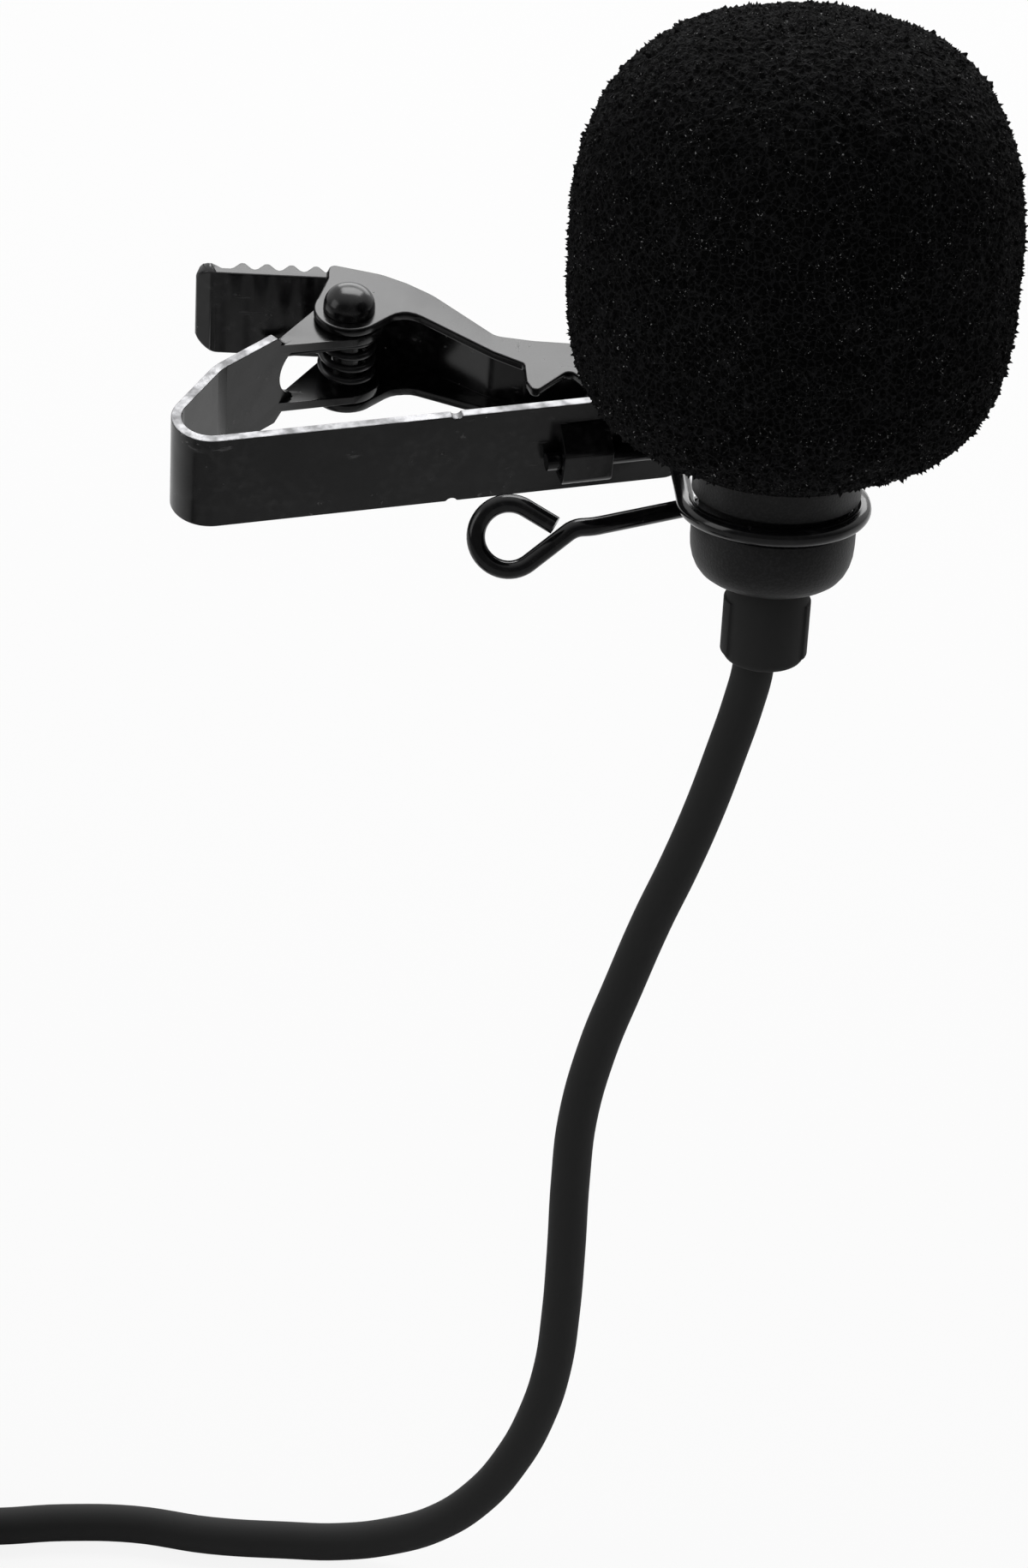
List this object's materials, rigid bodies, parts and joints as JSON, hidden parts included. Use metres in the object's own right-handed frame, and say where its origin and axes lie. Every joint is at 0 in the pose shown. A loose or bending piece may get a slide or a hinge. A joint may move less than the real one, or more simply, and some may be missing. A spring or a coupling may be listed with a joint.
{
  "type": "lavalier microphone",
  "caption": "Clip-on lapel microphone: foam windscreen over a small capsule, held by a wire ring in a sprung tie clip, with a coiled cord and jack plug.",
  "frame": {"origin": "between the tips of the clip's jaws, at their grip", "axes": "+Z along the microphone's own axis towards the windscreen, +X from the clip's thumb plate to its tips, +Y from the front arm to the rear jaw"},
  "size_m": [0.0977, 0.0641, 0.1074],
  "materials": {
    "foam": "open-cell foam, matt",
    "housing": "black, satin",
    "cloth": "fine weave",
    "electret_can": "satin",
    "board": "lacquered",
    "lead_insulation": "smooth",
    "relief_rubber": "matt",
    "clip_steel": "black, semi-gloss",
    "spring_steel": "black, semi-gloss",
    "wire_steel": "black, gloss",
    "cord_jacket": "matt",
    "tie_fabric": "hook and loop",
    "plug_plastic": "matt",
    "plug_contacts": "nickel plate",
    "plug_insulation": "smooth"
  },
  "bodies": {
    "front": {"front_arm": "clip_steel", "pivot_rivet": "clip_steel", "return_spring": "spring_steel"},
    "jaw": {"rear_jaw": "clip_steel"},
    "holder": {"wire_holder": "wire_steel"},
    "microphone": {"grille_cap": "housing", "acoustic_cloth": "cloth", "capsule_body": "housing", "capsule_gasket": "relief_rubber", "microphone_capsule": "electret_can", "capsule_board": "board", "lead_wires": "lead_insulation", "end_cap": "housing", "strain_relief": "relief_rubber", "cable": "cord_jacket", "cable_coil": "cord_jacket", "cable_tail": "cord_jacket", "cable_tie": "tie_fabric", "plug_relief": "relief_rubber", "plug_shell": "plug_plastic", "plug_sleeve": "plug_contacts", "plug_ring": "plug_contacts", "plug_tip": "plug_contacts", "plug_insulators": "plug_insulation"},
    "foam": {"windscreen": "foam"}
  },
  "joints": [
    {"name": "jaw_open", "type": "hinge", "parent": "front", "child": "jaw", "pos_m": [-0.01901, 0.00515, 0.002], "axis": [0.0264, -0.2749, 0.9611], "range_deg": [0, 28], "stiffness_Nm_per_rad": 0.1, "springref_deg": -34.38, "deforming": ["return_spring"]},
    {"name": "holder_swivel", "type": "hinge", "parent": "front", "child": "holder", "pos_m": [-0.00476, -0.00258, -0.00108], "axis": [0.9649, 0.2582, 0.0474], "range_deg": [-40, 60]},
    {"name": "mic_turn", "type": "hinge", "parent": "holder", "child": "microphone", "pos_m": [0.006, -0.0099, -0.0003], "axis": [0, 0, 1], "range_deg": [-90, 90]},
    {"name": "windscreen_pull", "type": "slide", "parent": "microphone", "child": "foam", "axis": [0, 0, 1], "range_m": [0, 0.02]}
  ]
}
